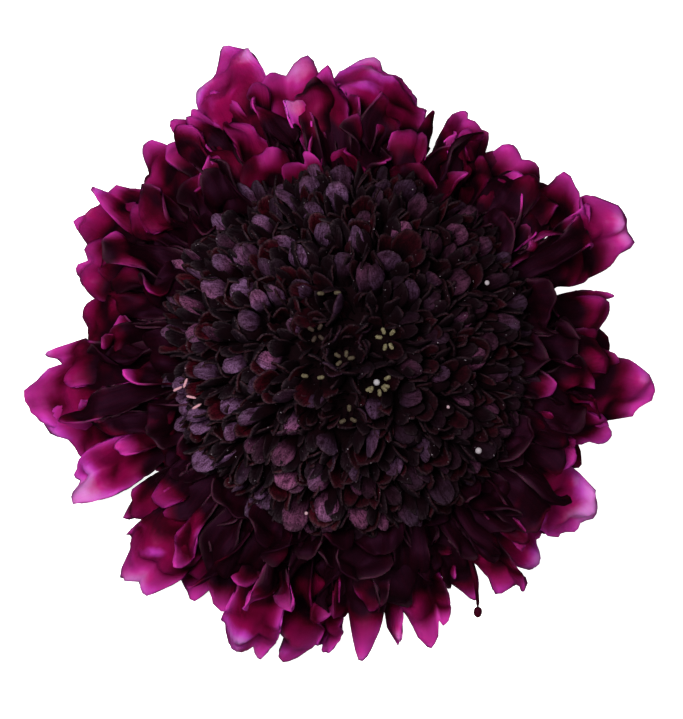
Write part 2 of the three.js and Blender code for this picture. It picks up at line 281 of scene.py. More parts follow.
def petals(root, out, up, shape, rows, columns):
    """Many petals at once, from root towards out, with spines that lean from up by the shape's angles.

    It gives their points (N, R, C, 3), and each point's share along, place across and fold's height.
    """
    count = len(root)
    t, across = grids(rows, columns)
    phase = column(shape["phase"], count)
    ridges = 2 * np.abs(np.sin(column(shape.get("pleats", 2.5), count) * across + phase)) ** 0.8 - 1
    share = margin(shape, t, across, ridges, phase)
    across = np.broadcast_to(across, share.shape)
    angle = np.radians(table(shape["stations"], shape["angles"]))
    run_out, run_up = spine(angle)
    length = column(shape["length"], count)
    lean = read(angle, share)
    half = read(table(shape["width_stations"], shape["half"], soft=4), share)
    cup = read(table(shape["width_stations"], shape["cup"], soft=4), share)
    twist = np.radians(column(shape["roll"], count) + column(shape["twist"], count) * share)
    edge = np.abs(across) ** 2 * np.clip(share * 1.6 - 0.35, 0, 1)
    swing = column(shape["waves"], count) * share + phase + 2 * across
    wave = column(shape["ruffle"], count) * edge * np.sin(swing)
    pleat = column(shape.get("pleat", 0.05), count) * share**2 * ridges
    fold = crumple(across * half, share * length, phase)
    lift = cup * across**2 + wave + pleat + column(shape.get("crumple", 0.0), count) * fold * share**1.5
    sideways = half * across + column(shape["sweep"], count) * share**2
    offset = sideways * np.cos(twist) - lift * np.sin(twist)
    lift = sideways * np.sin(twist) + lift * np.cos(twist)
    x = read(run_out, share) * length - np.cos(lean) * lift
    z = read(run_up, share) * length + np.sin(lean) * lift
    side = np.cross(up, out)
    points = (
        root[:, None, None]
        + x[..., None] * out[:, None, None]
        + z[..., None] * up[:, None, None]
        + offset[..., None] * side[:, None, None]
    )
    return points, np.broadcast_to(t, share.shape), across, fold


def leaves(kind, points, along, across):
    """Closed thin blades of a kind over grids of points (N, R, C, 3): their points, quads and marks."""
    middle, less, side, tip = THICK[kind]
    thick = middle - less * np.maximum(np.abs(across) ** side, along**tip if tip else 0)
    count, rows, columns = points.shape[:3]
    normal = unit(np.cross(np.gradient(points, axis=1), np.gradient(points, axis=2)))
    half = normal * thick[..., None] / 2
    sides = np.stack([points + half, points - half], 1)
    number = np.arange(rows * columns).reshape(rows, columns)
    quad = np.stack([number[:-1, :-1], number[1:, :-1], number[1:, 1:], number[:-1, 1:]], -1).reshape(-1, 4)
    other = rows * columns
    loop = np.concatenate([number[:-1, 0], number[-1, :-1], number[:0:-1, -1], number[0, :0:-1]])
    after = np.roll(loop, -1)
    rim = np.stack([after, loop, loop + other, after + other], -1)
    faces = np.concatenate([quad, quad[:, ::-1] + other, rim])
    starts = 2 * other * np.arange(count).reshape(-1, 1, 1)
    back = np.broadcast_to(np.array([0.0, 1.0]).reshape(1, 2, 1, 1), sides.shape[:-1])
    marks = {"along": both(along, points), "across": both(across, points), "back": back.reshape(-1)}
    return sides.reshape(-1, 3), (faces + starts).reshape(-1, 4), marks


def both(values, points):
    """Values of a grid, given to both sides of its leaf."""
    whole = np.broadcast_to(values, points.shape[:-1])
    return np.repeat(whole[:, None], 2, 1).reshape(-1)


def lathe(profile, sides, ridge=0.0, ridges=1):
    """A closed solid of revolution about the stalk's axis, from a profile that starts and ends on it."""
    inner = np.array(profile[1:-1])
    turn = np.linspace(0, 2 * np.pi, sides, endpoint=False)
    swell = 1 + ridge * np.cos(ridges * turn)
    width = inner[:, :1] * swell
    height = np.broadcast_to(inner[:, 1:], width.shape)
    ring = np.stack([width * np.cos(turn), width * np.sin(turn), height], -1).reshape(-1, 3)
    ends = np.array([[0, 0, profile[0][1]], [0, 0, profile[-1][1]]])
    points = np.concatenate([ring, ends]) + AXIS
    first, last = len(ring), len(ring) + 1
    step = np.arange(sides)
    after = (step + 1) % sides
    faces = [[first, b, a, a] for a, b in zip(step, after)]
    for row in range(len(inner) - 1):
        a, b = step + row * sides, after + row * sides
        faces += np.stack([a, b, b + sides, a + sides], -1).tolist()
    top = (len(inner) - 1) * sides
    faces += [[last, a + top, b + top, b + top] for a, b in zip(step, after)]
    return points, np.array(faces)


def round_bar(start, finish, radius, tip, sides=8, rows=7, square=5, bow=0.0):
    """Closed tapered bars from start to finish (N, 3), bent by bow in the middle, or balls at square=2."""
    count = len(start)
    line = finish - start
    length = np.linalg.norm(line, axis=1, keepdims=True)
    ahead = line / length
    side = unit(np.cross(ahead, np.array([0.31, 0.77, 0.55])))
    third = np.cross(ahead, side)
    turn = np.linspace(0, 2 * np.pi, sides, endpoint=False)
    at = np.linspace(0, 1, rows)
    bulge = np.sqrt(np.clip(1 - np.abs(2 * at - 1) ** square, 0.03, 1))
    width = (radius * (1 - at) + tip * at) * bulge
    middle = start[:, None] + line[:, None] * at[None, :, None] + bow * (4 * at * (1 - at))[None, :, None]
    spoke = side[:, None] * np.cos(turn)[None, :, None] + third[:, None] * np.sin(turn)[None, :, None]
    ring = middle[:, :, None] + spoke[:, None] * width[None, :, None, None]
    points = ring.reshape(count, -1, 3)
    points = np.concatenate([points, start[:, None], finish[:, None]], 1)
    number = np.arange(rows * sides).reshape(rows, sides)
    after = np.roll(number, -1, 1)
    wall = np.stack([number[:-1], after[:-1], after[1:], number[1:]], -1).reshape(-1, 4)
    foot = np.stack([np.full(sides, rows * sides), after[0], number[0], number[0]], -1)
    head = np.stack([np.full(sides, rows * sides + 1), number[-1], after[-1], after[-1]], -1)
    faces = np.concatenate([wall, foot, head])
    starts = points.shape[1] * np.arange(count).reshape(-1, 1, 1)
    return points.reshape(-1, 3), (faces + starts).reshape(-1, 4)


class Piece:
    """Points, faces and named values gathered from several shapes, and made into one mesh object."""

    def __init__(self, name):
        self.name = name
        self.points = []
        self.faces = []
        self.marks = {}
        self.count = 0

    def add(self, points, faces, **marks):
        """Adds a shape, with a value for the whole of it or one a point for each mark."""
        self.points.append(points)
        self.faces.append(faces + self.count)
        for key, values in marks.items():
            self.marks.setdefault(key, []).append(np.broadcast_to(values, (len(points),)))
        self.count += len(points)

    def make(self, material, slot, *nodes):
        """Makes the mesh object, which replaces the CAD nodes that are named."""
        points = np.concatenate(self.points) * MM
        faces = np.concatenate(self.faces)
        mesh = bpy.data.meshes.new(self.name)
        loops = [tuple(dict.fromkeys(face)) for face in faces.tolist()]
        mesh.from_pydata(points.tolist(), [], loops)
        for key, values in self.marks.items():
            attribute = mesh.attributes.new(key, "FLOAT", "POINT")
            attribute.data.foreach_set("value", np.concatenate(values).astype(np.float32))
        mesh.shade_smooth()
        mesh.materials.append(material)
        piece = bpy.data.objects.new(self.name, mesh)
        bpy.context.collection.objects.link(piece)
        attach(piece, "root")
        if nodes:
            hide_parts(*nodes)
        return piece


# ---- materials -------------------------------


class Nodes:
    """A short way to write a material's nodes."""

    def __init__(self, name):
        self.material = bpy.data.materials.new(name)
        self.material.use_nodes = True
        self.tree = self.material.node_tree
        self.shader = self.tree.nodes["Principled BSDF"]

    def plug(self, socket, value):
        """Links a socket to another one, or sets it to a number or to a colour of three."""
        if isinstance(value, bpy.types.NodeSocket):
            self.tree.links.new(value, socket)
        elif isinstance(value, tuple):
            socket.default_value = (*value, 1.0)
        else:
            socket.default_value = value

    def node(self, kind, **values):
        """A new node, with values in the sockets that they name."""
        node = self.tree.nodes.new("ShaderNode" + kind)
        for key, value in values.items():
            self.plug(node.inputs[key.replace("_", " ")], value)
        return node

    def mark(self, name):
        node = self.node("Attribute")
        node.attribute_name = name
        return node.outputs["Fac"]

    def math(self, kind, a, b=0.0, c=0.0):
        node = self.node("Math")
        node.operation = kind
        for socket, value in zip(node.inputs, (a, b, c)):
            self.plug(socket, value)
        return node.outputs[0]

    def times(self, a, b):
        return self.math("MULTIPLY", a, b)

    def plus(self, a, b):
        return self.math("ADD", a, b)

    def power(self, a, b):
        return self.math("POWER", a, b)

    def spread(self, value, low, high, start=0.0, end=1.0):
        node = self.node("MapRange", Value=value, From_Min=low, From_Max=high, To_Min=start, To_Max=end)
        node.interpolation_type = "SMOOTHSTEP"
        return node.outputs[0]

    def mix(self, share, a, b):
        node = self.node("Mix")
        node.data_type = "RGBA"
        self.plug(node.inputs[0], share)
        self.plug(node.inputs[6], a)
        self.plug(node.inputs[7], b)
        return node.outputs[2]

    def place(self, x, y, z):
        return self.node("CombineXYZ", X=x, Y=y, Z=z).outputs[0]

    def noise(self, scale, detail=3.0, rough=0.5, at=None):
        """Noise over the position, in metres, or over another vector."""
        at = at or self.node("NewGeometry").outputs["Position"]
        return self.node("TexNoise", Vector=at, Scale=scale, Detail=detail, Roughness=rough).outputs["Fac"]

    def rim(self, side, tip):
        """1 at a petal's margin, and less inwards, by a power from its sides and another from its tip."""
        side = self.power(self.math("ABSOLUTE", self.mark("across")), side)
        return self.math("MAXIMUM", side, self.power(self.mark("along"), tip))

    def bump(self, height, distance, strength=1.0):
        node = self.node("Bump", Height=height, Distance=distance, Strength=strength)
        self.set(Normal=node.outputs[0])

    def set(self, **values):
        """Sets or links the shader's own sockets."""
        for key, value in values.items():
            self.plug(self.shader.inputs[key.replace("_", " ")], value)


def disc_material():
    """Velvety petals, plum outside and maroon inside, with painted sheen on their paler edges, painted
    glints, and painted shade on standing lobes, towards each lobe's foot and on one side of the dome.
    """
    n = Nodes("disc_petal")
    along, across, back, tone = n.mark("along"), n.mark("across"), n.mark("back"), n.mark("tone")
    strip = n.place(n.times(across, 6.0), n.times(along, 4.0), n.times(tone, 60.0))
    stripes = n.noise(1.0, 4.0, 0.65, strip)
    down = n.noise(8000.0, 3.0, 0.75)
    patch = n.noise(1300.0, 2.0, 0.5)
    nap = n.plus(n.times(stripes, 0.45), n.times(down, 0.55))
    bloom = n.times(n.spread(nap, 0.36, 0.62), n.spread(patch, 0.32, 0.56, 0.3, 1.0))
    region = n.spread(n.noise(140.0, 1.0, 0.4), 0.4, 0.6)
    plum = n.mix(region, (0.175, 0.048, 0.115), (0.125, 0.058, 0.130))
    # Painted light and shade: a lit and a shaded copy of the velvet, and each lobe's tone picks one. Lying
    # lobes, which face up, mostly get the lit one, standing lobes the shaded one.
    lit = n.mix(bloom, (0.014, 0.0025, 0.008), plum)
    dull = n.mix(bloom, (0.0016, 0.0005, 0.0010), (0.0058, 0.0022, 0.0038))
    outside = n.mix(n.spread(tone, 0.05, 0.6), lit, dull)
    inside = n.mix(bloom, (0.005, 0.0004, 0.0010), (0.044, 0.0018, 0.006))
    body = n.mix(back, inside, outside)
    # Painted sheen: the lobes' margins paler where the velvet catches the light.
    painted_rim_sheen = n.mix(n.spread(nap, 0.40, 0.62), (0.005, 0.002, 0.0035), (0.050, 0.036, 0.044))
    body = n.mix(n.times(n.rim(24.0, 16.0), n.spread(along, 0.5, 0.75, 0.0, 0.45)), body, painted_rim_sheen)
    # Painted shade: each lobe darker towards its foot, where it sinks between the florets.
    body = n.mix(n.spread(along, 0.48, 0.92), (0.003, 0.0005, 0.001), body)
    # Painted shade: lobes darkened towards one side of the dome.
    body = n.mix(n.spread(n.mark("shade"), 0.15, 0.95, 0.0, 0.75), body, (0.003, 0.0008, 0.0015))
    # Painted glints: sparse pale specks over the velvet.
    painted_glints = n.spread(n.noise(4200.0, 1.0, 0.4), 0.775, 0.80, 0.0, 0.7)
    body = n.mix(painted_glints, body, (0.240, 0.200, 0.230))
    n.set(Base_Color=body, Roughness=n.spread(tone, 0.1, 0.7, 0.5, 0.8), Specular_IOR_Level=0.008)
    n.set(Sheen_Weight=0.004, Sheen_Roughness=0.35, Sheen_Tint=(0.90, 0.62, 0.84))
    n.bump(n.plus(stripes, n.times(down, 0.7)), 0.00016, 0.6)
    return n.material


def ray_material():
    """Satin petals: maroon where they leave the dome, partly painted shade, and magenta towards their
    margins, with painted glare, glow, highlights, edge light, and painted light and shade on the folds.
    """
    n = Nodes("ray_petal")
    along, across, back, tone = n.mark("along"), n.mark("across"), n.mark("back"), n.mark("tone")
    strip = n.place(n.times(across, 5.0), n.times(along, 1.6), n.times(tone, 80.0))
    veins = n.noise(1.0, 5.0, 0.6, strip)
    cloud = n.noise(320.0, 3.0, 0.55)
    grain = n.noise(6500.0, 2.0, 0.6)
    far = n.mark("far")
    # Ripeness picks the colour: out along the petal and out from the dome it turns from maroon to magenta,
    # partly the petals' own colour, partly painted shade near the dome.
    ripe = n.plus(n.times(along, 0.26), n.times(far, 0.94))
    ripe = n.plus(ripe, n.times(n.math("SUBTRACT", cloud, 0.5), 0.4))
    # Painted light and shade: the folds' ridges lighter, their valleys darker.
    ripe = n.plus(ripe, n.math("MULTIPLY_ADD", n.mark("fold"), 0.15, -0.045))
    ripe = n.math("SUBTRACT", ripe, n.times(tone, 0.28))
    deep = n.mix(n.spread(ripe, 0.38, 0.70), (0.0034, 0.0004, 0.0012), (0.046, 0.0005, 0.0065))
    body = n.mix(n.spread(ripe, 0.54, 1.00), deep, (0.120, 0.0008, 0.026))
    # Painted glare: violet towards the petals' sides and in patches, where their margins curve away.
    painted_glare = n.times(n.power(n.math("ABSOLUTE", across), 3.0), 0.3)
    painted_glare = n.spread(n.plus(n.noise(260.0, 1.0, 0.4), painted_glare), 0.40, 0.72)
    bright = n.mix(painted_glare, (0.225, 0.002, 0.046), (0.330, 0.026, 0.300))
    body = n.mix(n.spread(ripe, 0.92, 1.22), body, bright)
    # Painted highlight: the outermost tips turn pale lilac.
    body = n.mix(n.spread(ripe, 1.08, 1.42, 0.0, 0.8), body, (0.400, 0.180, 0.410))
    body = n.mix(n.times(back, n.spread(ripe, 0.65, 1.05, 0.0, 0.20)), body, (0.220, 0.060, 0.130))
    body = n.mix(n.spread(veins, 0.42, 0.72, 0.0, 0.22), body, n.mix(0.7, body, (0.02, 0.0004, 0.003)))
    # Painted glow along the margins, where thin petal edges let light through.
    painted_glow = n.times(n.rim(7.0, 10.0), n.spread(ripe, 0.55, 0.95, 0.0, 0.6))
    body = n.mix(painted_glow, body, (0.400, 0.030, 0.290))
    # Painted edge light: thin lines along the margins, pale magenta on the ripe parts and dark mauve on the
    # maroon ones.
    edge = n.mix(n.spread(ripe, 0.40, 0.85), (0.035, 0.012, 0.020), (0.330, 0.020, 0.190))
    margin = n.times(n.rim(18.0, 44.0), n.spread(n.noise(230.0, 1.0, 0.4), 0.42, 0.60))
    body = n.mix(n.times(margin, n.spread(along, 0.3, 0.6, 0.0, 0.7)), body, edge)
    satin = n.spread(ripe, 0.60, 1.05, 0.60, 0.32)
    n.set(Base_Color=body, Roughness=satin, Specular_IOR_Level=0.05, Specular_Tint=(1.0, 0.25, 0.75))
    n.set(Subsurface_Weight=0.25, Subsurface_Scale=0.0008)
    n.shader.inputs["Subsurface Radius"].default_value = (1.0, 0.12, 0.55)
    n.bump(n.plus(veins, n.times(grain, 0.3)), 0.0002, 0.35)
    return n.material


def green_material():
    """The stalk and bracts: dull green with a maroon flush and fine lengthwise lines."""
    n = Nodes("green")
    patch = n.noise(260.0, 3.0, 0.6)
    strip = n.place(n.times(n.mark("across"), 14.0), n.mark("along"), 0.0)
    lines = n.noise(1.0, 3.0, 0.6, strip)
    body = n.mix(n.spread(patch, 0.35, 0.7), (0.085, 0.130, 0.035), (0.150, 0.190, 0.060))
    body = n.mix(n.spread(lines, 0.5, 0.8, 0.0, 0.6), body, (0.090, 0.040, 0.030))
    n.set(Base_Color=body, Roughness=0.6, Specular_IOR_Level=0.35, Sheen_Weight=0.3)
    n.bump(n.plus(lines, n.noise(6000.0)), 0.0001, 0.5)
    return n.material


def core_material():
    """The shaded ground between the florets."""
    n = Nodes("core")
    body = n.mix(n.noise(900.0), (0.0008, 0.0003, 0.0005), (0.004, 0.0008, 0.0016))
    n.set(Base_Color=body, Roughness=0.9, Specular_IOR_Level=0.02)
    n.bump(n.noise(2500.0), 0.0003, 0.6)
    return n.material


def anther_material():
    """Cream and olive anthers with a grain of pollen."""
    n = Nodes("anther")
    grain = n.noise(5200.0, 2.0, 0.7)
    body = n.mix(n.spread(grain, 0.35, 0.65), (0.050, 0.040, 0.016), (0.125, 0.108, 0.058))
    body = n.mix(n.mark("tone"), body, (0.014, 0.006, 0.003))
    n.set(Base_Color=body, Roughness=0.75, Specular_IOR_Level=0.25)
    n.bump(grain, 0.0001, 0.8)
    return n.material


def stigma_material():
    """White stigmas with a frosted surface, and pale pink ones."""
    n = Nodes("stigma")
    grain = n.noise(6000.0, 2.0, 0.7)
    white = n.mix(grain, (0.13, 0.12, 0.13), (0.27, 0.25, 0.27))
    body = n.mix(n.mark("tone"), white, (0.30, 0.14, 0.17))
    n.set(Base_Color=body, Roughness=0.7, Specular_IOR_Level=0.3)
    n.bump(grain, 0.0001, 0.8)
    return n.material


def floor_material():
    """A matt white table top with a barely seen grain."""
    n = Nodes("floor")
    body = n.mix(n.noise(60.0, 4.0), (0.90, 0.90, 0.90), (0.93, 0.93, 0.93))
    n.set(Base_Color=body, Roughness=0.9, Specular_IOR_Level=0.1)
    n.set(Emission_Color=(1.0, 1.0, 1.0), Emission_Strength=0.97)
    return n.material


# ---- the dome of disc florets ----------------


def dome_height(x, y):
    """How high the dome's surface is over a place."""
    share = ((x - AXIS[0]) ** 2 + (y - AXIS[1]) ** 2) / DOME["radius"] ** 2
    return DOME["middle"] + DOME["rise"] * math.sqrt(max(0.0, 1 - share))


def disc_frames():
    """Each disc floret's root, axis, sideways and downhill directions, and how far it is open.

    Their mouths follow a spiral over the dome. Open ones are put in their places, and the others make room.
    """
    count = FLORETS["count"]
    number = np.arange(count)
    height = 1 - (number + 0.5) / count * FLORETS["covered"]
    turn = np.radians(GOLDEN_ANGLE * number)
    size = np.array([DOME["radius"], DOME["radius"], DOME["rise"]])
    level = np.sqrt(1 - height**2)
    mouth = np.stack([level * np.cos(turn), level * np.sin(turn), height], -1) * size
    young = np.clip(1.5 - number / count / FLORETS["young"], 0, 1)
    held = np.zeros(count, bool)
    for x, y, *_ in OPEN:
        gap = np.array([x, y]) - AXIS[:2] - mouth[:, :2]
        nearest = np.argmin(np.linalg.norm(gap, axis=1) + FAR * held)
        mouth[nearest, :2] += gap[nearest]
        young[nearest] = 1
        held[nearest] = True
    for _ in range(ROOM["rounds"]):
        gap = mouth[:, None] - mouth
        apart = np.linalg.norm(gap, axis=-1) + FAR * np.eye(count)
        push = np.clip(FLORETS["spacing"] / apart - 1, 0, ROOM["most"])
        mouth += ROOM["step"] * np.where(held, 0, 1)[:, None] * (gap * push[..., None]).sum(1)
        mouth[:, 2] = np.maximum(mouth[:, 2], ROOM["lowest"])
        mouth = unit(mouth / size) * size
    axis = unit(mouth / size**2)
    root = mouth - axis * DOME["depth"] + AXIS + np.array([0, 0, DOME["middle"]])
    axis = unit(axis + rng.normal(0, 0.14, axis.shape))
    sideways = unit(np.cross(UP, axis))
    downhill = np.cross(sideways, axis)
    return root, axis, sideways, downhill, young


def lying_lobe(tilt, leading):
    """A lobe that lies over the mouth: how its tip and foot lean, its length, half width and tone."""
    count = len(tilt)
    tip = 0.95 * tilt - 70 - 16 * leading + rng.normal(0, 19, count)
    foot = 14 - 0.1 * tilt + rng.normal(0, 9, count)
    tone = rng.uniform(0.0, 0.5, count) + rng.uniform(0.1, 0.9, count) * (1 - leading)
    return tip, foot, 2.1 + 0.4 * leading, 0.84 + 0.26 * leading, tone


def standing_lobe(tilt, uphill, spread_out):
    """A lobe that stands up round the mouth, in the same terms."""
    count = len(tilt)
    tip = (0.5 * uphill - 0.5) * tilt - 6 + rng.normal(0, 17, count) + 34 * spread_out
    foot = 18 - 0.25 * tilt + rng.normal(0, 9, count)
    tone = rng.uniform(0.4, 1.2, count)
    return tip, foot, np.full(count, 2.3), 0.80 - 0.42 * uphill, tone


def disc_florets(first, last, name):
    """Florets of five lobes: two uphill lobes lie over the mouth, the rest stand. Young ones are open."""
    root, axis, sideways, downhill, young = (part[first:last] for part in FRAMES)
    count = len(root)
    spin = rng.normal(0, 24, count)
    scale = rng.normal(0.92, 0.09, count)
    spread_out = rng.uniform(0, 1, count) < 0.4
    left = rng.uniform(0, 1, count) < 0.5
    tilt = np.degrees(np.arccos(np.clip(axis[:, 2], -1, 1)))
    # Painted shade: florets darker towards one side of the dome, open ones darker too, with a random
    # spread.
    shade = 0.55 + 0.85 * (root - AXIS) @ PAINTED_SHADE_SIDE / DOME["radius"] + 0.3 * young + rng.normal(0, 0.12, count)
    piece = Piece(name)
    for lobe in range(5):
        bearing = 72 * lobe
        uphill = -math.cos(math.radians(bearing))
        turn = np.radians(bearing + spin)[:, None]
        foot = downhill * np.cos(turn) + sideways * np.sin(turn)
        turn = np.radians(180 + 0.35 * (bearing - 180) + spin if uphill > 0 else bearing + spin)[:, None]
        out = downhill * np.cos(turn) + sideways * np.sin(turn)
        leading = np.where(left == (lobe == 2), 1.0, 0.0)
        if uphill > 0:
            tip, start, long, wide, tone = lying_lobe(tilt, leading)
        else:
            tip, start, long, wide, tone = standing_lobe(tilt, uphill, spread_out)
        tip = tip * (1 - young) + rng.normal(4, 13, count) * young
        start = start * (1 - young) + 30 * young
        angles = np.stack([np.full(count, 6.0), 10 + 12 * young, start, 0.8 * tip + 0.2 * start, tip], 1)
        long = (3.2 + long * (1 - 0.15 * young)) * scale
        wide = wide * scale * rng.normal(1, 0.12, count)
        neck = (0.70 + 0.3 * young) * scale
        half = np.stack([0.5 * scale, 0.7 * neck, neck, 0.88 * wide, 1.04 * wide, 1.06 * wide], 1)
        cup = np.stack([0.2 * scale, 0.25 * scale, 0.28 * scale, 0.3 * wide, 0.32 * wide, 0.26 * wide], 1)
        shape = {
            "stations": [0, 0.46, 0.57, 0.72, 1],
            "angles": angles,
            "length": long,
            "width_stations": [0, 0.3, 0.5, 0.68, 0.82, 1],
            "half": half,
            "cup": cup * rng.normal(1, 0.35, (count, 1)),
            "notch": 0.60,
            "blunt": 2.1,
            "ragged": 0.008,
            "phase": rng.uniform(0, PHASES, count),
            "ruffle": 0.14,
            "waves": 14.0,
            "pleat": 0.08,
            "roll": rng.normal(0, 12, count),
            "twist": rng.normal(0, 20, count),
            "sweep": rng.normal(0, 0.2, count),
        }
        base = root + foot * 0.85 - axis * 1.2
        points, along, across, _ = petals(base, out, axis, shape, rows=12, columns=9)
        solid, faces, marks = leaves("lobe", points, along, across)
        marks |= {"tone": both(column(tone, count), points), "shade": both(column(shade, count), points)}
        piece.add(solid, faces, **marks)
    return piece


def dome_core():
    """The receptacle that the disc florets stand on."""
    across = DOME["radius"] - DOME["depth"]
    upward = DOME["rise"] - DOME["depth"]
    steps = np.linspace(0, np.pi / 2, 15)
    arc = [(across * math.cos(a), DOME["middle"] + upward * math.sin(a)) for a in steps[:-1]]
    piece = Piece("dome_core")
    piece.add(*lathe(CORE_FOOT + arc + [(0.0, DOME["middle"] + upward)], 48))
    return piece


def chaff():
    """The narrow dark scales that stand between the florets."""
    root, axis, sideways, downhill, _ = FRAMES
    piece = Piece("chaff")
    count = len(root)
    for scale in range(4):
        turn = np.radians(90 * scale + rng.normal(0, 25, count))[:, None]
        out = downhill * np.cos(turn) + sideways * np.sin(turn)
        wide = rng.uniform(0.45, 0.75, count)[:, None]
        shape = {
            "stations": [0, 0.5, 1],
            "angles": np.array([8.0, 0.0, -14.0]) + rng.normal(0, 9, (count, 3)),
            "length": rng.uniform(3.2, 4.6, count),
            "width_stations": [0, 0.3, 0.6, 1],
            "half": wide * np.array([0.6, 1.0, 1.0, 0.7]),
            "cup": wide * np.array([0.3, 0.4, 0.4, 0.3]),
            "notch": 0.7,
            "blunt": 1.6,
            "ragged": 0.0,
            "phase": rng.uniform(0, PHASES, count),
            "ruffle": 0.1,
            "waves": 9.0,
            "roll": rng.normal(0, 15, count),
            "twist": rng.normal(0, 25, count),
            "sweep": rng.normal(0, 0.2, count),
        }
        foot = root + out * rng.uniform(1.1, 2.1, (count, 1)) - axis * 0.6
        points, along, across, _ = petals(foot, out, axis, shape, rows=8, columns=5)
        solid, faces, marks = leaves("scale", points, along, across)
        # The scales between the florets are darkened with painted shade.
        piece.add(solid, faces, **marks, tone=0.9, shade=0.6)
    return piece


def awns():
    """The dark bristles of the calyx, five to a floret, which fill the gaps between the florets."""
    root, axis, sideways, downhill, _ = FRAMES
    count = len(root)
    piece = Piece("calyx_awns")
    for bristle in range(5):
        turn = np.radians(36 + 72 * bristle + rng.normal(0, 14, count))[:, None]
        out = downhill * np.cos(turn) + sideways * np.sin(turn)
        start = root + out * 0.5 - axis * 0.4
        finish = root + out * rng.uniform(1.0, 1.5, (count, 1)) + axis * rng.uniform(2.4, 3.8, (count, 1))
        piece.add(*round_bar(start, finish, radius=0.075, tip=0.03, sides=5, rows=4))
    return piece


def stamens():
    """Anthers on their filaments in the open florets, and the stigmas that stand out of the dome."""
    anthers, threads, stigmas = Piece("anthers"), Piece("filaments"), Piece("stigmas")
    for x, y, reach, deep, dull, bearings in OPEN:
        count = len(bearings)
        turn = np.radians(bearings)
        ring = np.stack([np.cos(turn), np.sin(turn), np.zeros(count)], -1)
        middle = np.array([x, y, dome_height(x, y) - deep]) + rng.normal(0, 0.08, (count, 3))
        inner = middle + ring * reach * 0.55 - np.array([0, 0, 0.2])
        outer = middle + ring * (reach * 0.55 + 0.62)
        anthers.add(*round_bar(inner, outer, radius=0.17, tip=0.19, rows=8), tone=dull)
        foot = middle + ring * 0.3 - np.array([0, 0, 3.5])
        threads.add(*round_bar(foot, (inner + outer) / 2, 0.07, 0.06, sides=6, rows=4))
    for x, y, width, pink in STIGMAS:
        top = np.array([[x, y, dome_height(x, y) + 0.15]])
        lean = np.array([[0.1 * (x - AXIS[0]) / DOME["radius"], 0.1 * (y - AXIS[1]) / DOME["radius"], 1.0]])
        low, high = top - lean * width / 2, top + lean * width / 2
        stigmas.add(*round_bar(low, high, width / 2, width / 2, 12, 9, square=2), tone=pink)
        threads.add(*round_bar(top - lean * 4, top - lean * width / 3, 0.08, 0.07, sides=6, rows=4))
    for x, y, turn in PINK_ANTHERS:
        way = np.array([[math.cos(math.radians(turn)), math.sin(math.radians(turn)), 0.1]])
        middle = np.array([[x, y, dome_height(x, y) + 0.1]])
        stigmas.add(*round_bar(middle - way * 0.45, middle + way * 0.45, 0.13, 0.11), tone=1.0)
        threads.add(*round_bar(middle - np.array([[-1.5, -0.3, 3.0]]), middle, 0.06, 0.06, sides=6, rows=4))
    return anthers, threads, stigmas


# ---- the ring of ray florets -----------------


def within_gaps(bearing, reach, width):
    """The reach of each petal, cut down where it would fill one of the gaps in the ring."""
    for gap, half, limit in GAPS:
        apart = np.abs((bearing - gap + 180) % 360 - 180)
        covers = apart < half + np.degrees(0.4 * width / reach)
        reach = np.where(covers, np.minimum(reach, limit), reach)
    return reach


def painted_ring_shade(bearing):
    """How much painted shade the ring gets on the side of a bearing; below 0 it gets painted light."""
    total = 0
    for side, power, dark in PAINTED_RING_SHADE:
        total = total + dark * np.maximum(np.cos(np.radians(bearing - side)), 0) ** power
    return total


def spine_length(angles, run):
    """How long each petal's spine is: it spans its run, but stands no higher over its root than CROWN."""
    slope = np.radians(table(STATIONS, angles))
    rise = np.maximum(np.cumsum(np.cos(slope), 1).max(1) / SAMPLES, 0.01)
    length = np.linalg.norm(run, axis=1) / np.maximum(np.sin(slope).mean(1), 0.7)
    return np.minimum(length, CROWN / rise)


